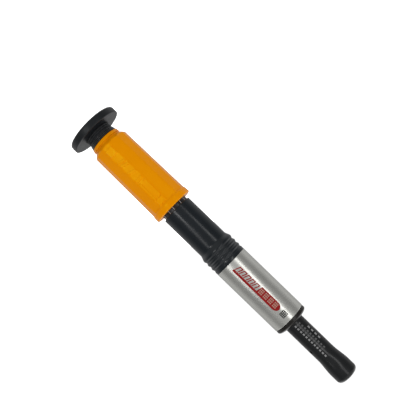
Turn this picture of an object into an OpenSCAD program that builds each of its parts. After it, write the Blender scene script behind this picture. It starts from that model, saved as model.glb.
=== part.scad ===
// Spring-driven desoldering pump. It stands on its palm knob with +Z towards the nozzle.
// The origin is the centre of the knob's outer face, and the plunger is pushed in and latched.

/* [Knob and rod] */
// Diameter of the palm knob
knob_d = 30.8; // [28:0.2:32]
// Thickness of the palm knob
knob_h = 4.4; // [4.2:0.1:4.6]
// Diameter of the plunger rod
rod_d = 5.0; // [4.6:0.1:5.2]
// How far the plunger springs back when it is released
stroke = 27; // [20:1:27]

/* [Release sleeve] */
// Diameter over the sleeve's corners at its knob end
sleeve_rear_d = 21.7; // [21.4:0.1:22]
// Diameter over the sleeve's corners at its nozzle end
sleeve_front_d = 22.8; // [22.4:0.1:23]
// Diameter of the flared rim at the sleeve's nozzle end
sleeve_rim_d = 23.7; // [23.3:0.1:24.1]
// Number of flat faces round the sleeve
sleeve_flats = 12; // [10:1:16]
// How far the sleeve slides to free the latch
release_travel = 2.0; // [1.8:0.1:2.4]

/* [Barrel] */
// Diameter of the smooth part of the black barrel
barrel_d = 18.1; // [17.9:0.1:18.5]
// Diameter over the three grip rings
ring_d = 20.3; // [19.9:0.1:20.5]
// Number of grip rings
ring_count = 3; // [2:1:3]
// Number of splines that the sleeve's front end runs on
spline_count = 6; // [4:1:8]

/* [Cylinder] */
// Outer diameter of the steel cylinder
tube_d = 20.0; // [19.8:0.1:20]
// Wall of the steel cylinder
tube_wall = 0.8; // [0.7:0.05:0.85]
// Exposed length of the steel cylinder
tube_len = 43.3; // [43:0.1:43.6]

/* [Nozzle] */
// Diameter of the nozzle's straight part
nozzle_d = 11.5; // [11.3:0.1:11.7]
// Diameter of the nozzle's flared mouth
mouth_d = 13.3; // [12.8:0.1:13.8]
// Diameter of the suction hole through the tip
suction_d = 3.0; // [2.6:0.1:3.2]
// Diameter of the pin that clears the tip
pin_d = 1.8; // [1.4:0.1:2]

/* [Hidden] */
$fn = 96;

// Clearances: a shaft in its bush, parts that lie face to face, parts fitted for good, and a cut
run_gap = 0.05;
face_gap = 0.1;
fit_gap = 0.02;
eps = 0.5;

// Stations along the pump, from the knob to the nozzle
bumper_z = 3.8;
bumper_top = 7.7;
bushing_z = 7.9;
core_z = 10.3;
sleeve_z = 10.4;
sleeve_neck_z = 12.3;
shoulder_z = 13.05;
sleeve_body_z = 14.9;
rim_z = 58.5;
sleeve_top = 61.9;
barrel_z = sleeve_top + release_travel;
flare_z = 90.6;
first_ring_z = 94.4;
ring_pitch = 2.95;
collar_z = 102.7;
tube_z = 104.3;
tube_top = tube_z + tube_len;
spigot_len = 4;
cap_edge_z = tube_top + 1.7;
cap_top = tube_top + 3.4;
mouth_flare_z = 175;
mouth_z = 186;
mouth_edge_z = 190.1;
pump_len = 192.4;

// Radii that several parts share
rod_r = rod_d / 2;
core_bore_r = 6.0;
core_r = 7.6;
spline_r = 8.1;
cavity_r = 9.5;
tube_r = tube_d / 2;
bore_r = tube_r - tube_wall;
spigot_r = bore_r - run_gap;
screw_r = 1.5;

// Latch: the wire's centre lies just behind the collar that it holds
wire_r = 0.4;
collar_rear_z = 57;
collar_h = 3;
latch_z = collar_rear_z - wire_r - run_gap;
latch_x = 5.0;
latch_bend_y = 4;

// Coil springs
main_wire_r = 0.5;
main_coil_r = 4.6;
seat_z = 95.2;
seat_top = 96;
release_wire_r = 0.35;
release_coil_r = 8.45;
circlip_z = 38.7;
circlip_h = 1;

// Piston and the end of the rod
buffer_h = 1.0;
piston_z = tube_z + spigot_len + buffer_h + stroke + face_gap;
piston_h = 5.7;
stud_r = 1.9;
nut_h = 2;
nut_flats = 7;

// Nozzle mounting
flange_z = tube_top - 2.9;
flange_r = 7.35;
skirt_bore_r = flange_r + face_gap;
tip_z = 165;
tip_r = 4.55;
grub_z = 168.9;
grub_turn = -24;

// Points on an arc, for outlines that are turned about Z
function arc(x, y, r, from, to, steps = 12) =
    [for (i = [0:steps]) let(a = from + (to - from) * i / steps) [x + r * cos(a), y + r * sin(a)]];

// Smooth step from 0 to 1
function ease(t) = (1 - cos(180 * t)) / 2;

// A ring of square section
module ring(outer_r, inner_r, z, h) {
    translate([0, 0, z])
        difference() {
            cylinder(r = outer_r, h = h);
            translate([0, 0, -eps]) cylinder(r = inner_r, h = h + 2 * eps);
        }
}

// A round seal ring
module o_ring(outer_r, section_r, z) {
    translate([0, 0, z])
        rotate_extrude()
            translate([outer_r - section_r, 0]) circle(r = section_r, $fn = 32);
}

// A retaining ring with a gap at one side
module open_ring(outer_r, inner_r, z, h, gap) {
    difference() {
        ring(outer_r, inner_r, z, h);
        translate([0, -gap / 2, z - eps]) cube([outer_r + eps, gap, h + 2 * eps]);
    }
}

// Height of a coil's wire after u of its turns: the first and last turn lie closed
function coil_z(u, turns, length, wire_r) =
    let(closed = 2 * wire_r + 0.05, open = (length - 2 * closed) / (turns - 2))
    closed * (min(u, 1) + max(u - turns + 1, 0)) + open * max(min(u, turns - 1) - 1, 0);

// A compression spring that stands between two heights
module coil(coil_r, wire_r, from_z, to_z, turns, steps = 16, sides = 6) {
    length = to_z - from_z - 2 * wire_r - face_gap;
    rings = turns * steps;
    points = [
        for (i = [0:rings], k = [0:sides - 1])
            let(a = 360 * i / steps, b = 360 * k / sides, r = coil_r + wire_r * cos(b))
            [r * cos(a), r * sin(a), coil_z(i / steps, turns, length, wire_r) + wire_r * sin(b)]
    ];
    faces = [
        [for (k = [0:sides - 1]) k],
        [for (k = [sides - 1:-1:0]) rings * sides + k],
        for (i = [0:rings - 1], k = [0:sides - 1])
            [i * sides + k, (i + 1) * sides + k, i * sides + (k + 1) % sides],
        for (i = [0:rings - 1], k = [0:sides - 1])
            [i * sides + (k + 1) % sides, (i + 1) * sides + k, (i + 1) * sides + (k + 1) % sides]
    ];
    translate([0, 0, from_z + wire_r + face_gap / 2]) polyhedron(points, faces);
}

// ---- Plunger ----

// Palm knob: a thick disc with a slightly dished outer face
module knob() {
    outer_edge = 1.2;
    inner_edge = 0.5;
    dish_r = 10.5;
    dish_h = 0.6;
    screw_head_r = 3.8;
    screw_seat_z = 2.0;
    rod_seat_z = 2.8;
    outline = concat(
        [[0, dish_h], [dish_r, 0]],
        arc(knob_d / 2 - outer_edge, outer_edge, outer_edge, -90, 0),
        arc(knob_d / 2 - inner_edge, knob_h - inner_edge, inner_edge, 0, 90),
        [[0, knob_h]]
    );
    color("#1c2228")
        difference() {
            rotate_extrude() polygon(outline);
            translate([0, 0, -eps]) cylinder(r = screw_head_r, h = screw_seat_z + eps);
            cylinder(r = screw_r + face_gap, h = knob_h);
            translate([0, 0, rod_seat_z]) cylinder(r = rod_r + fit_gap, h = knob_h);
            translate([0, 0, bumper_z]) cylinder(r = 7.5, h = knob_h);
        }
}

// Pan-head screw with a cross slot, driven into the rod from the knob's outer face
module knob_screw() {
    head_r = 3.4;
    head_z = 0.6;
    seat_z = 2.0;
    slot_w = 0.9;
    slot_len = 3.8;
    slot_h = 0.9;
    screw_end = 11;
    color("#9a9c9e")
        difference() {
            union() {
                translate([0, 0, head_z]) cylinder(r1 = head_r - 0.5, r2 = head_r, h = 0.5);
                translate([0, 0, head_z + 0.5]) cylinder(r = head_r, h = seat_z - head_z - 0.5);
                translate([0, 0, seat_z]) cylinder(r = screw_r, h = screw_end - seat_z);
            }
            for (a = [0, 90])
                rotate([0, 0, a])
                    translate([-slot_len / 2, -slot_w / 2, head_z - eps])
                        cube([slot_len, slot_w, slot_h + eps]);
        }
}

// Ribbed rubber bumper between the knob and the pump's rear end
module knob_bumper() {
    rib_r = 7.75;
    valley_r = 7.4;
    rib_count = 3;
    rib_pitch = (bumper_top - knob_h) / rib_count;
    steps = 8;
    color("#14171b")
        rotate_extrude()
            polygon(concat(
                [[rod_r + run_gap, bumper_z], [valley_r, bumper_z]],
                [for (i = [0:rib_count * steps])
                    [valley_r + (rib_r - valley_r) * abs(sin(180 * i / steps)),
                        knob_h + rib_pitch * i / steps]],
                [[rod_r + run_gap, bumper_top]]
            ));
}

// Steel rod from the knob to the piston
module plunger_rod() {
    rear_z = 2.8;
    tapped_len = 10;
    pin_hole_len = 6;
    color("#b9bcc0")
        difference() {
            union() {
                translate([0, 0, rear_z]) cylinder(r = rod_r, h = piston_z - rear_z);
                translate([0, 0, piston_z]) cylinder(r = stud_r, h = piston_h + nut_h + 0.4);
            }
            translate([0, 0, rear_z - eps]) cylinder(r = screw_r, h = tapped_len + eps);
            translate([0, 0, collar_rear_z - 0.8])
                difference() {
                    cylinder(r = rod_r + eps, h = 0.8);
                    cylinder(r = rod_r - 0.4, h = 0.8);
                }
            translate([0, 0, piston_z + piston_h + nut_h - pin_hole_len])
                cylinder(r = pin_d / 2, h = pin_hole_len + eps);
        }
}

// Collar that the latch holds and the main spring pushes on
module latch_collar() {
    collar_r = 5.6;
    lead_in = 1;
    color("#8f9296")
        rotate_extrude()
            polygon([
                [rod_r + fit_gap, collar_rear_z],
                [collar_r, collar_rear_z],
                [collar_r, collar_rear_z + collar_h - lead_in],
                [collar_r - lead_in, collar_rear_z + collar_h],
                [rod_r + fit_gap, collar_rear_z + collar_h]
            ]);
}

// Retaining clip behind the collar
module collar_clip() {
    color("#6f7276") open_ring(4.1, rod_r - 0.4 + fit_gap, collar_rear_z - 0.8, 0.8, 3);
}

// Piston with a groove for its seal
module piston() {
    groove_z = piston_z + 1.9;
    groove_h = 2;
    groove_r = 7.65;
    piston_r = bore_r - 0.08;
    edge = 0.4;
    color("#d9d4c6")
        rotate_extrude()
            polygon([
                [stud_r + run_gap, piston_z],
                [piston_r - edge, piston_z],
                [piston_r, piston_z + edge],
                [piston_r, groove_z],
                [groove_r, groove_z],
                [groove_r, groove_z + groove_h],
                [piston_r, groove_z + groove_h],
                [piston_r, piston_z + piston_h - edge],
                [piston_r - edge, piston_z + piston_h],
                [stud_r + run_gap, piston_z + piston_h]
            ]);
}

// Seal ring in the piston's groove
module piston_seal() {
    color("#1a1a1a") o_ring(bore_r - 0.03, 0.73, piston_z + 2.9);
}

// Thin hexagon nut that clamps the piston
module piston_nut() {
    color("#a8abaf")
        difference() {
            translate([0, 0, piston_z + piston_h])
                cylinder(r = nut_flats / sqrt(3), h = nut_h, $fn = 6);
            translate([0, 0, piston_z + piston_h - eps])
                cylinder(r = stud_r + fit_gap, h = nut_h + 2 * eps);
        }
}

// Thin pin that the piston pushes through the tip to clear it
module clearing_pin() {
    rear_z = piston_z + piston_h + nut_h - 6;
    front_z = pump_len - 1.2;
    point = 0.6;
    color("#c9ccd0")
        rotate_extrude()
            polygon([
                [0, rear_z],
                [pin_d / 2, rear_z],
                [pin_d / 2, front_z - point],
                [pin_d / 2 - point, front_z],
                [0, front_z]
            ]);
}

// ---- Body ----

// Inner tube that guides the plunger and carries the sleeve
module core_tube() {
    spline_z = 59;
    spline_w = 3.6;
    spline_turn = 45;
    slot_gap = 0.15;
    slot_h = 2 * (wire_r + slot_gap);
    slot_x = latch_x - wire_r - 0.9;
    color("#15181c")
        difference() {
            union() {
                rotate([0, 0, spline_turn + 180 / spline_count])
                    translate([0, 0, core_z]) cylinder(r = core_r, h = seat_top - core_z);
                intersection() {
                    rotate([0, 0, spline_turn + 180 / spline_count])
                        translate([0, 0, spline_z]) cylinder(r = spline_r, h = seat_top - spline_z);
                    for (i = [0:spline_count - 1])
                        rotate([0, 0, spline_turn + i * 360 / spline_count])
                            translate([core_r - 0.5, -spline_w / 2, spline_z])
                                cube([spline_r, spline_w, seat_top - spline_z]);
                }
            }
            translate([0, 0, core_z - eps]) cylinder(r = core_bore_r, h = seat_top);
            for (side = [0, 180])
                rotate([0, 0, side])
                    translate([slot_x, -core_r, latch_z - slot_h / 2])
                        cube([core_r, 2 * core_r, slot_h]);
            difference() {
                translate([0, 0, circlip_z]) cylinder(r = core_r + eps, h = circlip_h);
                translate([0, 0, circlip_z]) cylinder(r = core_r - 0.3, h = circlip_h);
            }
        }
}

// Plain bearing at the rear, with the ribbed flange that the sleeve rests on
module rear_bushing() {
    flange_rear_r = 8.0;
    flange_front_r = 8.65;
    rib_count = 3;
    rib_depth = 0.2;
    flange_h = core_z - bushing_z;
    steps = 16;
    spigot_end = 19;
    color("#181b20")
        rotate_extrude()
            polygon(concat(
                [[rod_r + run_gap, bushing_z]],
                [for (i = [0:steps])
                    let(t = i / steps)
                    [flange_rear_r + (flange_front_r - flange_rear_r) * t
                        - rib_depth * abs(sin(180 * rib_count * t)), bushing_z + flange_h * t]],
                [
                    [core_bore_r - 0.02, core_z],
                    [core_bore_r - 0.02, spigot_end],
                    [rod_r + run_gap, spigot_end]
                ]
            ));
}

// Black barrel with grip rings, between the sleeve and the steel cylinder
module grip_barrel() {
    edge = 0.35;
    draft = 0.08;
    barrel_r = barrel_d / 2;
    ring_r = ring_d / 2;
    ring_depth = 0.5;
    bush_r = 5;
    steps = 10;
    groove_edge_z = first_ring_z + (ring_count - 0.5) * ring_pitch;
    color("#1b2026")
        rotate_extrude()
            polygon(concat(
                [[spline_r + 0.1, barrel_z], [barrel_r - edge, barrel_z], [barrel_r, barrel_z + edge]],
                [for (i = [0:steps])
                    let(t = i / steps)
                    [barrel_r + (ring_r - barrel_r) * ease(t), flare_z + (first_ring_z - flare_z) * t]],
                [for (i = [1:(ring_count - 0.5) * steps])
                    [ring_r - ring_depth * (1 - cos(360 * i / steps)) / 2,
                        first_ring_z + ring_pitch * i / steps]],
                [
                    [tube_r - 0.3, collar_z],
                    [tube_r, collar_z + 0.3],
                    [tube_r - draft, tube_z],
                    [spigot_r, tube_z],
                    [spigot_r, tube_z + spigot_len],
                    [bush_r, tube_z + spigot_len],
                    [bush_r, seat_top],
                    [spline_r + 0.1, seat_top]
                ]
            ));
}

// Steel cylinder that the piston runs in
module steel_cylinder() {
    color("#a7a79f") ring(tube_r, bore_r, tube_z, tube_len);
}

// Bronze bearing for the rod in the barrel's front wall
module rod_bush() {
    color("#a67c3a") ring(5, rod_r + run_gap, seat_top, tube_z + spigot_len - seat_top);
}

// Washer that the main spring pushes against
module spring_seat() {
    color("#9da0a4") ring(core_bore_r - 0.1, rod_r + 0.3, seat_z, seat_top - seat_z);
}

// Rubber ring that softens the end of the stroke
module stop_buffer() {
    color("#1d1d1d") ring(bore_r - 0.6, rod_r + 0.3, tube_z + spigot_len, buffer_h);
}

// Main spring, pressed short while the plunger is latched
module main_spring() {
    color("#b4b7ba")
        coil(main_coil_r, main_wire_r, collar_rear_z + collar_h, seat_z, 10);
}

// Light spring that returns the sleeve
module release_spring() {
    color("#b4b7ba") coil(release_coil_r, release_wire_r, sleeve_body_z + 0.3, circlip_z, 7);
}

// Wire clip whose two legs cross the core tube's slots behind the collar
module latch_clip() {
    leg_end_y = 6.6;
    color("#8d9094")
        translate([0, 0, latch_z]) {
            for (x = [-latch_x, latch_x])
                translate([x, -leg_end_y, 0])
                    rotate([-90, 0, 0]) cylinder(r = wire_r, h = leg_end_y + latch_bend_y, $fn = 32);
            translate([0, latch_bend_y, 0])
                rotate_extrude(angle = 180)
                    translate([latch_x, 0]) circle(r = wire_r, $fn = 32);
        }
}

// Retaining ring on the core tube, in front of the release spring
module spring_circlip() {
    color("#6f7276") rotate([0, 0, 90]) open_ring(9, core_r - 0.3 + fit_gap, circlip_z, circlip_h, 4);
}

// ---- Release sleeve ----

// Yellow sleeve with flat faces, a narrow neck and a flared rim
module release_sleeve() {
    neck_r = 8.6;
    front_bore_r = 8.3;
    front_wall_z = 57.3;
    rear_bore_r = 8.35;
    rear_r = sleeve_rear_d / 2;
    front_r = sleeve_front_d / 2;
    rim_r = sleeve_rim_d / 2;
    rim_edge = 0.5;
    flat_rear_r = rear_r - 0.3;
    flat_front_r = front_r - 0.32;
    flats_len = rim_z - sleeve_body_z;
    tilt = atan((flat_front_r - flat_rear_r) / flats_len);
    flat_turn = 10;
    first_cut_z = shoulder_z - 0.6;
    last_cut_z = rim_z - 0.6;
    color("#f0a008")
        difference() {
            rotate_extrude()
                polygon(concat(
                    [
                        [rear_bore_r, sleeve_neck_z],
                        [neck_r, sleeve_neck_z],
                        [neck_r, shoulder_z],
                        [neck_r + 0.65, shoulder_z + 0.05],
                        [rear_r - 0.25, sleeve_body_z - 0.3],
                        [rear_r, sleeve_body_z + 0.4],
                        [front_r, last_cut_z],
                        [rim_r - 0.15, rim_z + 0.3]
                    ],
                    arc(rim_r - rim_edge, sleeve_top - rim_edge, rim_edge, 0, 90, 6),
                    [
                        [front_bore_r, sleeve_top],
                        [front_bore_r, front_wall_z],
                        [cavity_r, front_wall_z],
                        [cavity_r, sleeve_body_z + 0.2],
                        [rear_bore_r, sleeve_body_z + 0.2]
                    ]
                ));
            for (i = [0:sleeve_flats - 1])
                rotate([0, 0, flat_turn + i * 360 / sleeve_flats])
                    translate([flat_rear_r, 0, sleeve_body_z])
                        rotate([0, tilt, 0])
                            translate([0, -rear_r, first_cut_z - sleeve_body_z])
                                cube([rear_r, 2 * rear_r, last_cut_z - first_cut_z]);
        }
}

// Yellow ring screwed into the sleeve's neck
module sleeve_end_ring() {
    ring_rear_r = 8.75;
    ring_front_r = 8.95;
    ring_spigot_r = 8.3;
    edge = 0.3;
    ring_top = sleeve_neck_z - face_gap;
    color("#f0a008")
        rotate_extrude()
            polygon([
                [core_r + 0.25, sleeve_z],
                [ring_rear_r, sleeve_z],
                [ring_front_r, ring_top - edge],
                [ring_front_r - edge, ring_top],
                [ring_spigot_r, ring_top],
                [ring_spigot_r, sleeve_body_z],
                [core_r + 0.25, sleeve_body_z]
            ]);
}

// Wedge ring that spreads the latch clip as the sleeve slides
module cam_ring() {
    cam_z = 49.4;
    land_z = 54.2;
    land_r = 8.7;
    cone_z = 54.9;
    cone_top = 55.95;
    notch_y = core_r + 0.3;
    notch_w = 2 * latch_x;
    notch_h = cone_top - land_z;
    color("#c9c2ae")
        difference() {
            rotate_extrude()
                polygon([
                    [core_r + 0.25, cam_z],
                    [cavity_r - fit_gap, cam_z],
                    [cavity_r - fit_gap, land_z],
                    [land_r, land_z],
                    [land_r, cone_z],
                    [core_r + 0.35, cone_top],
                    [core_r + 0.25, cone_top]
                ]);
            translate([-notch_w / 2, notch_y, cone_top - notch_h])
                cube([notch_w, cavity_r, notch_h + eps]);
        }
}

// ---- Front cap ----

// Screw cap that closes the cylinder and turns round the nozzle
module cap_nut() {
    cap_r = tube_r - 0.03;
    draft = 0.08;
    hole_r = nozzle_d / 2 + face_gap;
    skirt_z = tube_top - spigot_len;
    seal_z = tube_top - 2.3;
    seal_h = 1.6;
    seal_r = 8.0;
    clip_z = skirt_z + 0.2;
    clip_h = 0.7;
    clip_r = 7.85;
    steps = 10;
    color("#1d1b1a")
        rotate_extrude()
            polygon(concat(
                [
                    [skirt_bore_r, skirt_z],
                    [spigot_r, skirt_z],
                    [spigot_r, seal_z],
                    [seal_r, seal_z],
                    [seal_r, seal_z + seal_h],
                    [spigot_r, seal_z + seal_h],
                    [spigot_r, tube_top],
                    [cap_r - draft, tube_top]
                ],
                [for (i = [0:steps])
                    let(a = 90 * i / steps)
                    [hole_r + (cap_r - hole_r) * cos(a), cap_edge_z + (cap_top - cap_edge_z) * sin(a)]],
                [
                    [hole_r, tube_top],
                    [skirt_bore_r, tube_top],
                    [skirt_bore_r, clip_z + clip_h],
                    [clip_r, clip_z + clip_h],
                    [clip_r, clip_z],
                    [skirt_bore_r, clip_z]
                ]
            ));
}

// Seal between the cap and the cylinder
module cap_seal() {
    color("#1a1a1a") o_ring(bore_r - 0.03, 0.58, tube_top - 1.5);
}

// Retaining ring that keeps the nozzle's flange in the cap
module cap_circlip() {
    color("#6f7276") open_ring(7.85, 6.7, tube_top - spigot_len + 0.2, 0.7, 4);
}

// ---- Nozzle ----

// Outer nozzle: a flange inside the cap, a straight tube and a flared mouth
module nozzle_shell() {
    shell_r = nozzle_d / 2;
    mouth_r = mouth_d / 2;
    chamber_r = 3.4;
    seat_r = 4.6;
    steps = 12;
    grub_r = 1.3;
    edge_h = pump_len - mouth_edge_z;
    edge_w = mouth_r - seat_r - 0.15;
    color("#1e2023")
        difference() {
            rotate_extrude()
                polygon(concat(
                    [
                        [chamber_r, flange_z],
                        [flange_r, flange_z],
                        [flange_r, tube_top - face_gap],
                        [shell_r, tube_top - face_gap]
                    ],
                    [for (i = [0:steps])
                        let(t = i / steps)
                        [shell_r + (mouth_r - shell_r) * ease(t),
                            mouth_flare_z + (mouth_z - mouth_flare_z) * t]],
                    [for (i = [0:8])
                        let(a = 90 * i / 8)
                        [mouth_r - edge_w * (1 - cos(a)), mouth_edge_z + edge_h * sin(a)]],
                    [
                        [seat_r, pump_len],
                        [seat_r, tip_z],
                        [chamber_r, tip_z]
                    ]
                ));
            rotate([0, 0, grub_turn])
                translate([0, 0, grub_z]) rotate([0, 90, 0]) cylinder(r = grub_r, h = shell_r + eps);
        }
}

// Heat-proof insert with the suction hole
module nozzle_tip() {
    hole_r = suction_d / 2;
    funnel_r = 3.0;
    funnel_h = 3;
    front_z = pump_len - 0.5;
    groove_z = 180;
    groove_h = 1.5;
    groove_r = 3.5;
    color("#2b2b2b")
        rotate_extrude()
            polygon([
                [funnel_r, tip_z],
                [tip_r, tip_z],
                [tip_r, groove_z],
                [groove_r, groove_z],
                [groove_r, groove_z + groove_h],
                [tip_r, groove_z + groove_h],
                [tip_r, front_z - 0.3],
                [tip_r - 0.3, front_z],
                [hole_r + 0.3, front_z],
                [hole_r, front_z - 0.3],
                [hole_r, tip_z + funnel_h]
            ]);
}

// Seal round the tip
module tip_seal() {
    color("#1a1a1a") o_ring(4.59, 0.53, 180.75);
}

// Headless screw that locks the tip in the shell
module tip_grub_screw() {
    inner_x = 4.65;
    outer_x = 5.3;
    screw_r = 1.25;
    hex_r = 0.6;
    color("#77797c")
        rotate([0, 0, grub_turn])
            translate([inner_x, 0, grub_z])
                rotate([0, 90, 0])
                    difference() {
                        cylinder(r = screw_r, h = outer_x - inner_x);
                        translate([0, 0, 0.25]) cylinder(r = hex_r, h = 1, $fn = 6);
                    }
}

knob();
knob_screw();
knob_bumper();
plunger_rod();
latch_collar();
collar_clip();
piston();
piston_seal();
piston_nut();
clearing_pin();
core_tube();
rear_bushing();
grip_barrel();
steel_cylinder();
rod_bush();
spring_seat();
stop_buffer();
main_spring();
release_spring();
latch_clip();
spring_circlip();
release_sleeve();
sleeve_end_ring();
cam_ring();
cap_nut();
cap_seal();
cap_circlip();
nozzle_shell();
nozzle_tip();
tip_seal();
tip_grub_screw();
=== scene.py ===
"""Looks for the desoldering pump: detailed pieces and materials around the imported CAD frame.

The pump stands on its palm knob, and +Z runs along it to the nozzle. Profiles are written in
millimetres as (radius, height, optional corner rounding), and the mesh helpers turn them to metres.
"""

import math

import bmesh
import bpy
from mathutils import Matrix, Vector


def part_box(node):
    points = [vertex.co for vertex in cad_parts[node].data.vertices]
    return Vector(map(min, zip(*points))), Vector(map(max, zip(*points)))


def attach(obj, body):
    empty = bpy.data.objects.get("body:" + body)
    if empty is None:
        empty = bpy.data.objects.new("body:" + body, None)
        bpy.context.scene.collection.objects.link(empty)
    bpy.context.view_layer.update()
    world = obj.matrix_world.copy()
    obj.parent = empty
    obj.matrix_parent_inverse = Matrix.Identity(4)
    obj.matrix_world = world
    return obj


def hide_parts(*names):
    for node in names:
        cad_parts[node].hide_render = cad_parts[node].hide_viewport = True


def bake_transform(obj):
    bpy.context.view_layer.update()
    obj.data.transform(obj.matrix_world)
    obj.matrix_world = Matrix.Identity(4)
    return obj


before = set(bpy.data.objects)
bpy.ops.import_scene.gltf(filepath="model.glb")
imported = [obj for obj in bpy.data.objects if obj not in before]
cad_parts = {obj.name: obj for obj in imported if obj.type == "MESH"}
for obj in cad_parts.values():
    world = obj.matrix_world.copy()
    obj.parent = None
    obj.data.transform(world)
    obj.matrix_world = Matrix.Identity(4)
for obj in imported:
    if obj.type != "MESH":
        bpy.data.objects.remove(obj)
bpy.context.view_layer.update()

MM = 0.001
TURN = 2 * math.pi


# ---- Places read from the frame, in millimetres ----


def low(node):
    """Height of a CAD node's lower end."""
    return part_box(node)[0].z / MM


def high(node):
    """Height of a CAD node's upper end."""
    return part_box(node)[1].z / MM


def radius(node):
    """Largest radius of a turned CAD node, along Y."""
    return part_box(node)[1].y / MM


# ---- Mesh helpers ----


def add_piece(name, mesh, material, body, replaces=(), sharp=32):
    """Links a mesh as a piece that rides on a body, shaded smooth but for its sharp edges."""
    mesh.shade_smooth()
    mesh.set_sharp_from_angle(angle=math.radians(sharp))
    mesh.materials.append(material)
    piece = bpy.data.objects.new(name, mesh)
    bpy.context.scene.collection.objects.link(piece)
    if body:
        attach(piece, body)
    if replaces:
        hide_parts(*replaces)
    return piece


def mesh_from(name, bm):
    """Turns a bmesh in millimetres into a clean mesh in metres."""
    bmesh.ops.remove_doubles(bm, verts=bm.verts, dist=0.0002)
    bmesh.ops.recalc_face_normals(bm, faces=bm.faces)
    bmesh.ops.scale(bm, vec=(MM, MM, MM), verts=bm.verts)
    mesh = bpy.data.meshes.new(name)
    bm.to_mesh(mesh)
    bm.free()
    return mesh


def rounded(points, steps=6):
    """An outline in which an arc replaces each corner that states a rounding."""
    out = []
    count = len(points)
    for i, point in enumerate(points):
        here = Vector(point[:2])
        if len(point) < 3:
            out.append(here)
            continue
        before = Vector(points[i - 1][:2]) - here
        after = Vector(points[(i + 1) % count][:2]) - here
        half = before.angle(after) / 2
        reach = point[2] / math.tan(half)
        reach = min(reach, 0.49 * before.length, 0.49 * after.length)
        arc_r = reach * math.tan(half)
        inward = (before.normalized() + after.normalized()).normalized()
        middle = here + inward * arc_r / math.sin(half)
        start = here + before.normalized() * reach - middle
        end = here + after.normalized() * reach - middle
        sweep = start.angle(end)
        side = 1 if start.x * end.y - start.y * end.x > 0 else -1
        for k in range(steps + 1):
            turn = Matrix.Rotation(side * sweep * k / steps, 2)
            out.append(middle + turn @ start)
    return out


def turned(name, outline, segments=144, shape=None):
    """A solid turned about Z from a closed outline.

    shape(radius, height, angle) can change the radius.
    """
    bm = bmesh.new()
    rings = []
    for r, z in outline:
        ring = []
        for i in range(segments):
            angle = TURN * i / segments
            reach = shape(r, z, angle) if shape else r
            ring.append(bm.verts.new((reach * math.cos(angle), reach * math.sin(angle), z)))
        rings.append(ring)
    for lower, upper in zip(rings, rings[1:] + rings[:1]):
        for i in range(segments):
            j = (i + 1) % segments
            bm.faces.new([lower[i], lower[j], upper[j], upper[i]])
    return mesh_from(name, bm)


def wrapped(bm, ends, r, sink, from_angle, to_angle, steps, rows):
    """A thin raised patch on a cylinder.

    ends(share) gives its two heights at that share of its width.
    """
    columns = []
    for i in range(steps + 1):
        share = i / steps
        angle = from_angle + (to_angle - from_angle) * share
        bottom, top = ends(share)
        column = []
        for k in range(rows + 1):
            z = bottom + (top - bottom) * k / rows
            column.append([
                bm.verts.new((d * math.cos(angle), d * math.sin(angle), z)) for d in (r, r - sink)
            ])
        columns.append(column)
    for i in range(steps):
        for k in range(rows):
            for layer in (0, 1):
                bm.faces.new([
                    columns[i][k][layer], columns[i + 1][k][layer],
                    columns[i + 1][k + 1][layer], columns[i][k + 1][layer],
                ])
    loop = [columns[i][0] for i in range(steps + 1)]
    loop += [columns[steps][k] for k in range(1, rows + 1)]
    loop += [columns[i][rows] for i in range(steps - 1, -1, -1)]
    loop += [columns[0][k] for k in range(rows - 1, 0, -1)]
    for a, b in zip(loop, loop[1:] + loop[:1]):
        bm.faces.new([a[0], b[0], b[1], a[1]])


def coil(name, coil_r, wire_r, bottom, top, turns):
    """A compression spring between two heights, with its first and last turn lying closed."""
    steps = 40
    sides = 12
    gap = 0.05
    bm = bmesh.new()
    closed = 2 * wire_r + gap
    length = top - bottom - 2 * wire_r - 2 * gap
    pitch = (length - 2 * closed) / (turns - 2)
    rings = []
    for i in range(turns * steps + 1):
        u = i / steps
        z = bottom + wire_r + gap + closed * (min(u, 1) + max(u - turns + 1, 0))
        z += pitch * max(min(u, turns - 1) - 1, 0)
        a = TURN * u
        ring = []
        for k in range(sides):
            b = TURN * k / sides
            r = coil_r + wire_r * math.cos(b)
            ring.append(bm.verts.new((r * math.cos(a), r * math.sin(a), z + wire_r * math.sin(b))))
        rings.append(ring)
    for lower, upper in zip(rings, rings[1:]):
        for k in range(sides):
            j = (k + 1) % sides
            bm.faces.new([lower[k], lower[j], upper[j], upper[k]])
    bm.faces.new(rings[0])
    bm.faces.new(rings[-1])
    return mesh_from(name, bm)


def quarter_arc(r, z, size_r, size_z, steps):
    """Points on a quarter of an ellipse about (r, z), from its outer end to its top."""
    turns = (math.radians(90 * i / steps) for i in range(steps + 1))
    return [Vector((r + size_r * math.cos(a), z + size_z * math.sin(a))) for a in turns]


def ease(t):
    """Smooth step from 0 to 1."""
    return (1 - math.cos(math.pi * t)) / 2


# ---- Materials ----


class Nodes:
    """Adds nodes to a shader tree."""

    def __init__(self, tree):
        self.tree = tree

    def node(self, kind, inputs=(), **settings):
        """Adds a node, links or sets its inputs, and returns it."""
        node = self.tree.nodes.new("ShaderNode" + kind)
        for key, value in settings.items():
            setattr(node, key, value)
        for key, value in dict(inputs).items():
            if isinstance(value, bpy.types.NodeSocket):
                self.tree.links.new(value, node.inputs[key])
            else:
                node.inputs[key].default_value = value
        return node

    def math(self, operation, a, b=0.0):
        """One Math node."""
        return self.node("Math", {0: a, 1: b}, operation=operation).outputs[0]

    def ramp(self, factor, *stops):
        """A colour ramp with (position, colour or grey value) stops."""
        node = self.node("ValToRGB", {"Fac": factor})
        elements = node.color_ramp.elements
        while len(elements) < len(stops):
            elements.new(0.5)
        for element, (position, value) in zip(elements, stops):
            element.position = position
            colour = value if isinstance(value, tuple) else (value, value, value)
            element.color = (*colour, 1)
        return node.outputs["Color"]


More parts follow.
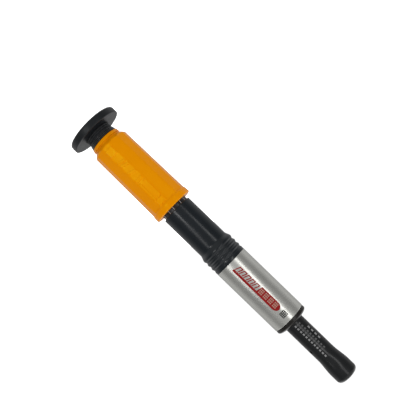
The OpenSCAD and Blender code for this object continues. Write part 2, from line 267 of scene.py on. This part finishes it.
class Finish(Nodes):
    """A node material under construction, on one Principled shader."""

    def __init__(self, name, roughness, metallic=0.0, **sockets):
        self.material = bpy.data.materials.new(name)
        self.material.use_nodes = True
        super().__init__(self.material.node_tree)
        self.shader = self.tree.nodes["Principled BSDF"]
        self.shader.inputs["Roughness"].default_value = roughness
        self.shader.inputs["Metallic"].default_value = metallic
        for socket, value in sockets.items():
            self.shader.inputs[socket.replace("_", " ")].default_value = value
        self.place = self.tree.nodes.new("ShaderNodeTexCoord").outputs["Object"]
        self.normal = None

    def noise(self, scale, detail, roughness=0.5, stretch=None):
        """Noise with features of about 1/scale metres; stretch multiplies that along each axis."""
        place = self.place
        if stretch:
            place = self.node("Mapping", {"Vector": place, "Scale": stretch}).outputs[0]
        inputs = {"Vector": place, "Scale": scale, "Detail": detail, "Roughness": roughness}
        return self.node("TexNoise", inputs).outputs["Fac"]

    def mix(self, factor, a, b):
        """Mixes two colours; the factor is a socket, and each colour a socket or three numbers."""
        node = self.node("Mix", data_type="RGBA")
        for index, value in ((0, factor), (6, a), (7, b)):
            if isinstance(value, bpy.types.NodeSocket):
                self.tree.links.new(value, node.inputs[index])
            else:
                node.inputs[index].default_value = (*value, 1)
        return node.outputs[2]

    def colour(self, value):
        """Links the base colour."""
        self.tree.links.new(value, self.shader.inputs["Base Color"])

    def rough(self, value):
        """Links the roughness."""
        self.tree.links.new(value, self.shader.inputs["Roughness"])

    def bump(self, height, strength, distance):
        """Adds relief; distance is its depth in metres."""
        inputs = {"Height": height, "Strength": strength, "Distance": distance}
        if self.normal:
            inputs["Normal"] = self.normal
        self.normal = self.node("Bump", inputs).outputs["Normal"]
        self.tree.links.new(self.normal, self.shader.inputs["Normal"])


def moulded(name, dark, light, roughness, **sockets):
    """Moulded plastic: clouded colour, a fine spark-eroded grain, and dull rubbed patches."""
    wear_and_highlight = 0.06
    relief = 0.000012
    f = Finish(name, roughness, **sockets)
    cloud = f.noise(90, 4, 0.6)
    colour = f.ramp(cloud, (0.25, dark), (0.75, light))
    dust = f.ramp(f.noise(2600, 5, 0.7), (0.62, 0.0), (0.8, 1.0))
    lifted = tuple(min(1, c * 1.5 + 0.02) for c in light)
    f.colour(f.mix(f.math("MULTIPLY", dust, wear_and_highlight * 4), colour, lifted))
    rub = f.ramp(f.noise(260, 6, 0.65), (0.35, roughness - wear_and_highlight), (0.7, roughness + wear_and_highlight))
    f.rough(rub)
    f.bump(f.noise(9000, 2, 0.5), 0.55, relief)
    f.bump(f.noise(420, 3, 0.5), 0.25, relief * 2.5)
    return f.material


def rubber(name):
    """Black rubber: matt, with a fine pitted surface and paler dusty patches."""
    f = Finish(name, 0.62, Specular_IOR_Level=0.35)
    dust = f.noise(700, 6, 0.7)
    f.colour(f.ramp(dust, (0.35, (0.008, 0.009, 0.011)), (0.8, (0.03, 0.032, 0.036))))
    f.rough(f.ramp(f.noise(400, 4, 0.6), (0.3, 0.5), (0.75, 0.72)))
    f.bump(f.noise(7000, 3, 0.6), 0.6, 0.00002)
    return f.material


def metal(name, dark, light, roughness, stretch=(1, 1, 60), scale=900, relief=0.000004):
    """Machined or drawn metal: stretch sets which way the fine lines run."""
    f = Finish(name, roughness, 1.0)
    lines = f.noise(scale, 4, 0.65, stretch)
    stain = f.noise(120, 4, 0.6)
    blend = f.math("ADD", f.math("MULTIPLY", lines, 0.6), f.math("MULTIPLY", stain, 0.4))
    f.colour(f.ramp(blend, (0.3, dark), (0.7, light)))
    f.rough(f.ramp(lines, (0.25, roughness * 0.8), (0.75, min(1, roughness * 1.3))))
    f.bump(lines, 0.5, relief)
    return f.material


def splined(name):
    """Black plastic whose splines have pale lines painted along their edges as highlights; lengths in
    metres.
    """
    count = 6
    first_turn = math.radians(45)
    outer_r = 0.0081
    crest_r = 0.0078
    rear_z = 0.059
    half_width = math.asin(0.0018 / outer_r)
    edge_width = 0.045
    f = Finish(name, 0.30)
    split = f.node("SeparateXYZ", {"Vector": f.place})
    x, y, z = (split.outputs[axis] for axis in "XYZ")
    around = f.math("SUBTRACT", f.math("ARCTAN2", y, x), first_turn)
    half_part = TURN / count / 2
    wrapped_turn = f.math("WRAP", around, half_part)
    wrapped_turn.node.inputs[2].default_value = -half_part
    edge = f.math("ABSOLUTE", f.math("SUBTRACT", f.math("ABSOLUTE", wrapped_turn), half_width))
    away = f.math("SQRT", f.math("ADD", f.math("MULTIPLY", x, x), f.math("MULTIPLY", y, y)))
    # Painted highlight: pale lines along the splines' outer edges, ahead of the sleeve's rear end
    wear_and_highlight = f.math("LESS_THAN", edge, edge_width)
    wear_and_highlight = f.math("MULTIPLY", wear_and_highlight, f.math("GREATER_THAN", away, crest_r))
    wear_and_highlight = f.math("MULTIPLY", wear_and_highlight, f.math("GREATER_THAN", z, rear_z))
    # Pale grey of the painted highlight lines, varying at random
    highlight_colour = f.ramp(f.noise(900, 4, 0.6), (0.3, 0.24), (0.7, 0.50))
    body = f.ramp(f.noise(90, 4, 0.6), (0.25, (0.006, 0.006, 0.007)), (0.75, (0.010, 0.010, 0.012)))
    f.colour(f.mix(wear_and_highlight, body, highlight_colour))
    f.rough(f.ramp(f.noise(260, 6, 0.65), (0.35, 0.24), (0.7, 0.36)))
    f.bump(f.noise(9000, 2, 0.5), 0.55, 0.000012)
    return f.material


# Colours are linear. A moulded finish has a darker and a lighter shade, then its roughness
KNOB = moulded("knob_moulded_black", (0.006, 0.008, 0.010), (0.009, 0.011, 0.013), 0.34,
              Specular_IOR_Level=0.28)
BARREL = moulded("barrel_moulded_black", (0.003, 0.006, 0.009), (0.005, 0.009, 0.013), 0.20,
                Specular_IOR_Level=0.40)
CORE = moulded("core_moulded_black", (0.006, 0.006, 0.007), (0.010, 0.010, 0.012), 0.21)
SPLINED = splined("core_splined_black")
YELLOW = moulded("sleeve_moulded_yellow", (0.94, 0.308, 0.0001), (0.99, 0.335, 0.0002), 0.22,
                 Specular_Tint=(0.75, 1, 0.03, 1), Specular_IOR_Level=0.55, IOR=1.3)
CAP = moulded("cap_moulded_black", (0.007, 0.006, 0.004), (0.011, 0.009, 0.007), 0.26,
              Specular_IOR_Level=0.35)
NOZZLE = moulded("nozzle_moulded_black", (0.005, 0.006, 0.007), (0.009, 0.010, 0.011), 0.22,
                Specular_IOR_Level=0.38)
TIP = moulded("tip_turned_black", (0.016, 0.016, 0.017), (0.028, 0.028, 0.030), 0.5)
ACETAL = moulded("acetal_ivory", (0.62, 0.58, 0.47), (0.70, 0.66, 0.55), 0.35)
RUBBER = rubber("rubber_black")
STEEL = metal("cylinder_brushed_steel", (0.60, 0.60, 0.565), (0.74, 0.74, 0.70), 0.25)
ROD = metal("rod_ground_steel", (0.62, 0.63, 0.65), (0.78, 0.79, 0.80), 0.16)
HARDWARE = metal("hardware_turned_steel", (0.42, 0.43, 0.44), (0.60, 0.61, 0.62), 0.28)
DARK_STEEL = metal("blackened_steel", (0.14, 0.14, 0.15), (0.24, 0.24, 0.25), 0.36)
BLACK_SCREW = metal("screw_black_oxide", (0.02, 0.02, 0.022), (0.05, 0.05, 0.053), 0.45)
WIRE = metal("spring_drawn_wire", (0.46, 0.46, 0.47), (0.66, 0.66, 0.67), 0.24, (1, 1, 1), 1500)
BRONZE = metal("sintered_bronze", (0.42, 0.24, 0.09), (0.60, 0.38, 0.16), 0.40, (1, 1, 1), 2500,
               0.00002)


def ink(name, dark, light, roughness):
    """Printed ink: an uneven coat with pinholes."""
    f = Finish(name, roughness, Specular_IOR_Level=0.25)
    f.colour(f.ramp(f.noise(1900, 5, 0.7), (0.3, dark), (0.7, light)))
    f.rough(f.ramp(f.noise(800, 4, 0.6), (0.3, roughness - 0.08), (0.7, roughness + 0.1)))
    f.bump(f.noise(5000, 2, 0.5), 0.4, 0.000006)
    return f.material


RED_INK = ink("badge_ink_red", (0.25, 0.003, 0.003), (0.38, 0.006, 0.006), 0.6)
PANEL_INK = ink("badge_ink_pale", (0.42, 0.22, 0.17), (0.60, 0.38, 0.30), 0.45)
MARK_INK = ink("marks_ink_grey", (0.24, 0.24, 0.24), (0.36, 0.36, 0.36), 0.5)
FAINT_INK = ink("marks_ink_faint", (0.09, 0.09, 0.09), (0.15, 0.15, 0.15), 0.5)
DARK_INK = ink("chequer_ink_grey", (0.020, 0.020, 0.018), (0.045, 0.045, 0.04), 0.5)


# ---- Plunger pieces ----

KNOB_R = radius("knob")
KNOB_TOP = high("knob")
BUMPER_Z = low("knob_bumper")
BUMPER_TOP = high("knob_bumper")
BUMPER_R = radius("knob_bumper")
ROD_R = radius("plunger_rod")
# Clearance round the rod
ROD_GAP = 0.05


def make_knob():
    """The palm knob: a disc dished round its screw, with seats for the bumper and the rod."""
    head_r = 3.8
    shank_r = 1.6
    head_z = 0.4
    seat_z = 2.0
    dish_r = 10.5
    rod_z = low("plunger_rod")
    outline = rounded([
        (head_r, head_z, 0.15), (dish_r, 0, 3), (KNOB_R, 0, 1.3), (KNOB_R, KNOB_TOP, 0.5),
        (BUMPER_R + 0.35, KNOB_TOP, 0.3), (BUMPER_R - 0.2, BUMPER_Z), (ROD_R, BUMPER_Z),
        (ROD_R, rod_z), (shank_r, rod_z), (shank_r, seat_z), (head_r, seat_z, 0.2),
    ], 10)
    add_piece("knob_disc", turned("knob_disc", outline), KNOB, "plunger", ["knob"])


def make_bumper():
    """The ribbed rubber bumper under the knob."""
    rib_depth = 0.35
    valley_r = BUMPER_R - rib_depth
    rib_count = 3
    steps = 10
    pitch = (BUMPER_TOP - KNOB_TOP) / rib_count
    outline = [Vector((ROD_R + ROD_GAP, BUMPER_Z)), Vector((valley_r, BUMPER_Z))]
    for i in range(rib_count * steps + 1):
        swell = math.sqrt(abs(math.sin(math.pi * i / steps)))
        outline.append(Vector((valley_r + rib_depth * swell, KNOB_TOP + pitch * i / steps)))
    outline.append(Vector((ROD_R + ROD_GAP, BUMPER_TOP)))
    add_piece("rubber_bumper", turned("rubber_bumper", outline), RUBBER, "plunger",
              ["knob_bumper"])


# ---- Barrel pieces ----

BARREL_Z = low("grip_barrel")
TUBE_Z = low("steel_cylinder")
TUBE_TOP = high("steel_cylinder")
TUBE_R = radius("steel_cylinder")
CORE_Z = low("core_tube")
CORE_TOP = high("core_tube")
# The pieces that go into the cylinder's ends are this much smaller than its outside
SPIGOT_STEP = 0.85


def make_bushing():
    """The ribbed rear flange, widening towards the neck ring, with its spigot in the core tube."""
    bottom, top = low("rear_bushing"), high("rear_bushing")
    rear_r = 8.0
    front_r = radius("rear_bushing")
    spigot_r = 5.98
    rib_depth = 0.22
    steps = 24
    ribs = 3
    outline = [Vector((ROD_R + ROD_GAP, bottom))]
    for i in range(steps + 1):
        t = i / steps
        groove = rib_depth * abs(math.sin(math.pi * ribs * t)) ** 0.6
        r = rear_r + (front_r - rear_r) * t - groove
        outline.append(Vector((r, bottom + (CORE_Z - bottom) * t)))
    outline += rounded([(spigot_r, CORE_Z), (spigot_r, top, 0.3), (ROD_R + ROD_GAP, top, 0.2)])
    add_piece("rear_flange", turned("rear_flange", outline), CORE, "barrel",
              ["rear_bushing"])


def make_barrel():
    """The black grip: a plain barrel, a flare, three grip rings, a collar and its spigot."""
    barrel_r = 9.05
    bore_r = 8.2
    front_bore_r = 5
    top = high("grip_barrel")
    ring_r = radius("grip_barrel")
    ring_pitch = 2.95
    ring_depth = 0.5
    ring_count = 3
    first_ring = TUBE_Z - 9.9
    flare = TUBE_Z - 13.7
    spigot_r = TUBE_R - SPIGOT_STEP
    steps = 16
    outline = rounded([
        (bore_r, BARREL_Z, 0.15), (barrel_r, BARREL_Z, 0.35), (barrel_r, BARREL_Z + 3)])[:-1]
    for i in range(steps + 1):
        t = i / steps
        r = barrel_r + (ring_r - barrel_r) * ease(t)
        outline.append(Vector((r, flare + (first_ring - flare) * t)))
    for i in range(1, int((ring_count - 0.5) * steps) + 1):
        dip = ring_depth * (1 - math.cos(TURN * i / steps)) / 2
        outline.append(Vector((ring_r - dip, first_ring + ring_pitch * i / steps)))
    outline += rounded([
        (TUBE_R, TUBE_Z - 1.6, 0.3), (TUBE_R - 0.06, TUBE_Z, 0.12), (spigot_r, TUBE_Z),
        (spigot_r, top, 0.3), (front_bore_r, top, 0.1), (front_bore_r, CORE_TOP), (bore_r, CORE_TOP),
    ])
    add_piece("barrel_grip", turned("barrel_grip", outline), BARREL, "barrel",
              ["grip_barrel"])


def make_cylinder():
    """The steel cylinder, with softened ends."""
    wall = 0.8
    outline = rounded([
        (TUBE_R - wall, TUBE_Z, 0.1), (TUBE_R, TUBE_Z, 0.18), (TUBE_R, TUBE_TOP, 0.18),
        (TUBE_R - wall, TUBE_TOP, 0.1),
    ])
    add_piece("steel_tube", turned("steel_tube", outline, 192), STEEL, "barrel",
              ["steel_cylinder"])


# ---- Sleeve pieces ----

SLEEVE_Z = low("release_sleeve")
SLEEVE_TOP = high("release_sleeve")
RIM_R = radius("release_sleeve")
BODY_Z = SLEEVE_Z + 2.6
FLAT_TURN = math.radians(10)


def body_share(z):
    """How far a height lies along the sleeve's tapered body, from 0 to 1."""
    return (z - BODY_Z) / (SLEEVE_TOP - 3.4 - BODY_Z)


def make_sleeve():
    """The yellow sleeve: a neck, a shoulder, a tapered body with flat faces, and a flared rim."""
    flats = 12
    neck_r = 8.6
    rear_bore_r = 8.35
    front_bore_r = 8.3
    pocket_r = 9.5
    rear_r = 10.85
    front_r = 11.4
    shoulder_z = SLEEVE_Z + 0.75
    step_z = SLEEVE_TOP - 4.0
    pocket_z = BODY_Z + 0.2
    pocket_top = SLEEVE_TOP - 4.6
    soft = 0.05

    def shape(r, z, angle):
        """Cuts the flat faces, with soft corners where they meet the round form."""
        if r < pocket_r + 0.1 and z > BODY_Z or not shoulder_z - 0.6 < z < step_z:
            return r
        flat = rear_r - 0.3 + (front_r - rear_r - 0.02) * body_share(z)
        part = TURN / flats
        off = (angle - FLAT_TURN + part / 2) % part - part / 2
        flat /= math.cos(off)
        low_r, high_r = min(r, flat), max(r, flat)
        return low_r - soft * math.log(1 + math.exp((low_r - high_r) / soft))

    outline = rounded([
        (rear_bore_r, SLEEVE_Z), (neck_r, SLEEVE_Z), (neck_r, shoulder_z, 0.1),
        (neck_r + 0.65, shoulder_z + 0.05, 0.1), (rear_r, BODY_Z, 0.9), (rear_r, BODY_Z + 0.8)], 8)[:-1]
    rows = 12
    first_row, last_row = BODY_Z + 1, step_z - 0.02
    for i in range(rows + 1):
        t = i / rows
        outline.append(Vector((rear_r + (front_r - rear_r) * t, first_row + (last_row - first_row) * t)))
    outline += rounded([
        (front_r, step_z + 0.02), (RIM_R - 0.15, step_z + 0.9, 0.6), (RIM_R, SLEEVE_TOP, 0.5),
        (front_bore_r, SLEEVE_TOP, 0.25), (front_bore_r, pocket_top), (pocket_r, pocket_top),
        (pocket_r, pocket_z), (rear_bore_r, pocket_z)], 8)
    add_piece("sleeve_shell", turned("sleeve_shell", outline, 360, shape), YELLOW, "sleeve",
              ["release_sleeve"], 40)


def make_end_ring():
    """The neck ring that closes the sleeve's rear end, with its thin skirt inside the sleeve."""
    bottom, top = low("sleeve_end_ring"), high("sleeve_end_ring")
    ring_r = radius("sleeve_end_ring")
    ring_top = SLEEVE_Z - 0.1
    bore_r = 7.85
    skirt_r = 8.3
    outline = rounded([
        (bore_r, bottom), (ring_r - 0.2, bottom, 0.15), (ring_r, ring_top, 0.35),
        (skirt_r, ring_top), (skirt_r, top), (bore_r, top),
    ])
    add_piece("neck_ring", turned("neck_ring", outline), YELLOW, "sleeve",
              ["sleeve_end_ring"])


# ---- Cap ----


def make_cap():
    """The domed screw cap: a skirt in the cylinder, with grooves for its seal and its circlip."""
    cap_r = radius("cap_nut")
    skirt_z, cap_top = low("cap_nut"), high("cap_nut")
    spigot_r = TUBE_R - SPIGOT_STEP
    hole_r = 5.85
    bore_r = 7.45
    dome_z = TUBE_TOP + 1.7
    seal_r = 8
    seal_z, seal_top = TUBE_TOP - 2.3, TUBE_TOP - 0.7
    clip_r = 7.85
    clip_z, clip_top = skirt_z + 0.2, skirt_z + 0.9
    outline = rounded([
        (bore_r, skirt_z), (spigot_r, skirt_z, 0.2), (spigot_r, seal_z), (seal_r, seal_z),
        (seal_r, seal_top), (spigot_r, seal_top), (spigot_r, TUBE_TOP), (cap_r - 0.06, TUBE_TOP, 0.15)])
    outline += quarter_arc(hole_r, dome_z, cap_r - hole_r, cap_top - dome_z, 14)
    outline += rounded([
        (hole_r, TUBE_TOP), (bore_r, TUBE_TOP), (bore_r, clip_top), (clip_r, clip_top),
        (clip_r, clip_z), (bore_r, clip_z)])
    add_piece("screw_cap", turned("screw_cap", outline), CAP, "cap", ["cap_nut"])


make_knob()
make_bumper()
make_bushing()
make_barrel()
make_cylinder()
make_sleeve()
make_end_ring()
make_cap()


# ---- CAD nodes that keep their own shape ----

KEPT = {
    "knob_screw": HARDWARE, "plunger_rod": ROD, "latch_collar": HARDWARE, "collar_clip": DARK_STEEL,
    "piston": ACETAL, "piston_seal": RUBBER, "piston_nut": HARDWARE, "clearing_pin": ROD,
    "core_tube": SPLINED, "rod_bush": BRONZE, "spring_seat": HARDWARE, "stop_buffer": RUBBER,
    "latch_clip": WIRE, "spring_circlip": DARK_STEEL, "cam_ring": ACETAL,
    "cap_seal": RUBBER, "cap_circlip": DARK_STEEL, "nozzle_shell": NOZZLE, "nozzle_tip": TIP,
    "tip_seal": RUBBER, "tip_grub_screw": BLACK_SCREW,
}
for node_name, finish in KEPT.items():
    node_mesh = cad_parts[node_name].data
    node_mesh.materials.clear()
    node_mesh.materials.append(finish)


# ---- Springs ----


def make_springs():
    """The main spring and the sleeve's return spring, each coiled in place of its CAD node."""
    bottom, top = high("latch_collar"), low("spring_seat")
    mesh = coil("drive_spring", coil_r=4.6, wire_r=0.5, bottom=bottom, top=top, turns=10)
    main = add_piece("drive_spring", mesh, WIRE, None, ["main_spring"])
    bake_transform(main)
    bottom, top = low("release_spring") - 0.05, high("release_spring") + 0.05
    mesh = coil("return_spring", coil_r=8.45, wire_r=0.35, bottom=bottom, top=top, turns=7)
    back = add_piece("return_spring", mesh, WIRE, None, ["release_spring"])
    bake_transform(back)


make_springs()


# ---- Printed marks and raised bars ----

# The printed side faces the camera, towards -Y; angles on it are measured from there towards +X
FRONT = -math.pi / 2
BADGE_R = TUBE_R + 0.03
BADGE_SINK = 0.05
BADGE_Z = TUBE_Z + 3.5
PANEL_Z = TUBE_Z + 19.6


def badge_patch(bm, ends, from_angle, to_angle, steps, rows=1, lift=0.0):
    """A printed patch on the steel cylinder."""
    wrapped(bm, ends, BADGE_R + lift, BADGE_SINK, from_angle, to_angle, steps, rows)


def make_badge_panel():
    """A plain red bar and a round-ended panel, with a row of outlined slanted tiles above the bar."""
    panel_top = TUBE_Z + 35.4
    panel_slant, end_rounding = 1.2, 3.0
    top_turn, tile_turn, bar_turn, edge_turn = (
        FRONT + math.radians(a) for a in (-13, -11.5, 6.5, 15))
    bm = bmesh.new()
    badge_patch(bm, lambda share: (BADGE_Z, PANEL_Z + 0.1), bar_turn + 0.02, edge_turn, 6, 24)

    def panel_ends(share):
        across = 2 * share - 1
        round_end = end_rounding * (1 - math.sqrt(max(0.0, 1 - across * across)))
        return PANEL_Z + panel_slant * (1 - share), panel_top - round_end

    badge_patch(bm, panel_ends, top_turn, edge_turn, 30, 20)

    tiles, pitch = 5, 3.05
    length, line, slope = 2.5, 0.62, 1.4
    line_turn = math.radians(3.4)
    top_share = line_turn / (bar_turn - tile_turn)
    for k in range(tiles):
        start = BADGE_Z + 0.3 + pitch * k

        def side(share, shift, start=start):
            bottom = start + shift + slope * (1 - share)
            return bottom, bottom + line

        def cap(share, start=start):
            bottom = start + slope * (1 - top_share + (1 - share) * top_share)
            return bottom, bottom + length

        badge_patch(bm, lambda share: side(share, 0), tile_turn, bar_turn, 12)
        badge_patch(bm, lambda share: side(share, length - line), tile_turn, bar_turn, 12)
        badge_patch(bm, cap, tile_turn, tile_turn + line_turn, 3, 4, 0.005)
    add_piece("badge_panel", mesh_from("badge_panel", bm), RED_INK, "barrel")


def make_badge_grids():
    """Four plain grids of 3 x 3 pale squares on the panel."""
    grids, cells = 4, 3
    grid_pitch, row_pitch, column_pitch = 3.35, 0.9, math.radians(6.2)
    cell_z, cell_turn = 0.62, math.radians(4.4)
    first_z = PANEL_Z + 1.4
    first_turn = FRONT + math.radians(-8.5)
    bm = bmesh.new()
    for k in range(grids):
        for row in range(cells):
            for column in range(cells):
                z = first_z + grid_pitch * k + row_pitch * row
                turn = first_turn + column_pitch * column
                badge_patch(bm, lambda share, z=z: (z, z + cell_z), turn, turn + cell_turn, 4, 1, 0.015)
    add_piece("badge_bars", mesh_from("badge_bars", bm), PANEL_INK, "barrel")


def make_chequer():
    """A plain square lattice beside the panel."""
    cells = 7
    first_z = TUBE_Z + 36.9
    first_turn = FRONT + math.radians(-8.5)
    cell_z = 3.5 / cells
    cell_turn = math.radians(20) / cells
    filled = 0.97
    bm = bmesh.new()
    for row in range(cells):
        for column in range(cells):
            if row % 2 and column % 2:
                continue
            z = first_z + cell_z * row
            a = first_turn + cell_turn * column
            badge_patch(bm, lambda share, z=z: (z, z + filled * cell_z), a, a + filled * cell_turn, 2)
    add_piece("chequer_mark", mesh_from("chequer_mark", bm), DARK_INK, "barrel")


def make_nozzle_marks():
    """Rows of plain dashes along the nozzle."""
    r = 5.77
    sink = 0.05
    cap_top = high("cap_nut")
    # Angle from the front, first dash's distance from the cap, number of dashes, their pitch and
    # length, half their width in degrees, and ink
    rows = [
        (-44, 6.4, 4, 2.55, 1.4, 5.5, MARK_INK),
        (-21, 1.5, 10, 2.0, 1.05, 4.5, FAINT_INK),
        (-6, 1.5, 10, 2.0, 1.05, 4.5, FAINT_INK),
        (8, 1.3, 12, 2.0, 1.15, 4.5, MARK_INK),
    ]
    for index, (turn, start, count, pitch, length, half_width, ink_used) in enumerate(rows):
        bm = bmesh.new()
        middle = FRONT + math.radians(turn)
        half_turn = math.radians(half_width)
        for k in range(count):
            z = cap_top + start + pitch * k
            wrapped(bm, lambda share, z=z: (z, z + length), r, sink,
                    middle - half_turn, middle + half_turn, 4, 1)
        name = "nozzle_dashes_%d" % (index + 1)
        add_piece(name, mesh_from(name, bm), ink_used, "nozzle")


def make_relief():
    """Plain raised pads and bars on the sleeve's front flat, in place of the moulded marks."""
    flat_turn = FRONT + FLAT_TURN
    rear_flat, front_flat = 10.55, 11.08
    height, sink, bevel = 0.26, 0.25, 0.20
    across_way = Vector((-math.sin(flat_turn), math.cos(flat_turn), 0))
    out_way = Vector((math.cos(flat_turn), math.sin(flat_turn), 0))
    bm = bmesh.new()

    def pad(corners):
        """A bevelled prism over (across, height above the sleeve's rear end) corners."""
        middle = sum((Vector(c) for c in corners), Vector((0, 0))) / len(corners)
        rings = []
        for lift, shrink in ((-sink, 0), (height - bevel, 0), (height, bevel)):
            ring = []
            for across, z in corners:
                inward = (middle - Vector((across, z))).normalized() * shrink * 1.4
                u, w = across + inward.x, SLEEVE_Z + z + inward.y
                reach = rear_flat + (front_flat - rear_flat) * body_share(w) + lift
                ring.append(bm.verts.new(out_way * reach + across_way * u + Vector((0, 0, w))))
            rings.append(ring)
        for lower, upper in zip(rings, rings[1:]):
            for i in range(len(lower)):
                j = (i + 1) % len(lower)
                bm.faces.new([lower[i], lower[j], upper[j], upper[i]])
        bm.faces.new(rings[0])
        bm.faces.new(rings[-1])

    def block(left, right, bottom, top):
        """A rectangular pad."""
        pad([(left, bottom), (left, top), (right, top), (right, bottom)])

    wide = 2.35
    block(-wide, wide, 4.5, 9.3)
    for start in (12.6, 15.1, 20.3):
        pad([(-wide, start + 1.6), (-wide, start + 3.0), (wide, start + 1.4), (wide, start)])
    block(-wide, wide, 26.3, 28.1)
    block(-wide, -wide + 1.35, 29.1, 40.9)
    block(wide - 1.15, wide, 29.1, 40.9)
    block(-wide, wide, 41.3, 44.9)
    add_piece("sleeve_relief", mesh_from("sleeve_relief", bm), YELLOW, "sleeve")


make_badge_panel()
make_badge_grids()
make_chequer()
make_nozzle_marks()
make_relief()


# ---- Studio ----

# The camera looks along +Y, rolled so that the pump runs from the upper left to the lower right.
# Its lens is shifted, so that the middle of the picture lies nearer to the knob than the camera does
CAMERA_AT = Vector((-0.0122, -0.370, 0.090))
PICTURE_Z = 0.077
LENS = 58.94
SENSOR = 36
ROLL = math.radians(44)
LIGHT_Y = -0.7
RIGHT = Vector((-math.sin(ROLL), 0, math.cos(ROLL)))
UP = Vector((-math.cos(ROLL), 0, -math.sin(ROLL)))


def facing(place, lean=0.0):
    """A matrix at a place that looks along +Y, upright in the picture but for its lean in degrees."""
    turn = Matrix.Rotation(math.radians(lean), 3, (0, -1, 0))
    right, up = turn @ RIGHT, turn @ UP
    axes = Matrix((right, up, right.cross(up))).transposed()
    return Matrix.Translation(place) @ axes.to_4x4()


def make_camera():
    """The camera, with its lens shifted along the pump."""
    data = bpy.data.cameras.new("camera")
    data.lens = LENS
    data.sensor_width = SENSOR
    seen_width = -CAMERA_AT.y * SENSOR / LENS
    off_centre = Vector((0, 0, PICTURE_Z - CAMERA_AT.z)) / seen_width
    data.shift_x, data.shift_y = off_centre.dot(RIGHT), off_centre.dot(UP)
    data.clip_start, data.clip_end = 0.01, 20
    camera = bpy.data.objects.new("camera", data)
    bpy.context.scene.collection.objects.link(camera)
    camera.matrix_world = facing(CAMERA_AT)
    bpy.context.scene.camera = camera


def make_light(name, right, up, width, height, level, lean=0.0):
    """A soft box behind the camera.

    right and up place its middle, as offsets in the picture; level is its radiance.
    """
    data = bpy.data.lights.new(name, "AREA")
    data.shape = "RECTANGLE"
    data.size, data.size_y = width, height
    data.energy = level * math.pi * width * height
    light = bpy.data.objects.new(name, data)
    bpy.context.scene.collection.objects.link(light)
    place = CAMERA_AT + RIGHT * right + UP * up
    place.y = LIGHT_Y
    light.matrix_world = facing(place, lean)


def make_floor():
    """A pale disc, low enough to clear the knob when the plunger springs out."""
    floor_z = -0.0275
    bm = bmesh.new()
    bmesh.ops.create_circle(bm, cap_ends=True, segments=96, radius=6)
    bmesh.ops.translate(bm, verts=bm.verts, vec=(0, 0, floor_z))
    mesh = bpy.data.meshes.new("floor")
    bm.to_mesh(mesh)
    bm.free()
    f = Finish("floor_pale", 0.9, Emission_Strength=0.85)
    f.shader.inputs["Emission Color"].default_value = (1, 1, 1, 1)
    f.colour(f.ramp(f.noise(3, 3), (0.3, 0.88), (0.7, 0.92)))
    mesh.materials.append(f.material)
    floor = bpy.data.objects.new("floor", mesh)
    floor.visible_glossy = False
    floor.visible_diffuse = False
    floor.visible_shadow = False
    bpy.context.scene.collection.objects.link(floor)


def make_world():
    """A white backdrop for the camera.

    The room that lights the pump is dimmer, above all level with it, and varies from front to back.
    """
    room_level = 6.9
    backdrop = 1.05
    world = bpy.data.worlds.new("studio")
    world.use_nodes = True
    bpy.context.scene.world = world
    bpy.context.scene.view_settings.view_transform = "Standard"
    room = Nodes(world.node_tree)
    way = room.node("TexCoord").outputs["Generated"]
    split = room.node("SeparateXYZ", {"Vector": way})
    depth, height = (
        room.node("MapRange", {"Value": split.outputs[axis], "From Min": -1}).outputs[0]
        for axis in "YZ")
    # Levels from the camera's side to behind the pump, times shares from below it to above it
    around = room.ramp(depth, (0.0, 0.33), (0.36, 0.19), (0.70, 0.42), (1.0, 0.30))
    share = room.ramp(height, (0.0, 0.4), (0.24, 0.33), (0.4, 0.2), (0.67, 0.19), (0.82, 0.6))
    around = room.math("MULTIPLY", around, room.math("MULTIPLY", share, room_level))
    seen = room.node("LightPath").outputs["Is Camera Ray"]
    strength = room.node("MapRange", {"Value": seen, "To Min": around, "To Max": backdrop}).outputs[0]
    background = world.node_tree.nodes["Background"]
    background.inputs["Color"].default_value = (1, 1, 1, 1)
    world.node_tree.links.new(strength, background.inputs["Strength"])


make_camera()
make_world()
make_floor()
# Offset to the right and up in metres, width and height, level, and lean in degrees
make_light("right_box", 0.30, 0.19, 0.14, 0.76, 2.3, -3)
make_light("left_box", -0.36, -0.32, 0.10, 0.54, 1.75, -15)
make_light("facet_box", -0.36, -0.04, 0.15, 0.13, 7.0)
make_light("knob_box", -0.34, 0.11, 0.20, 0.14, 0.7)
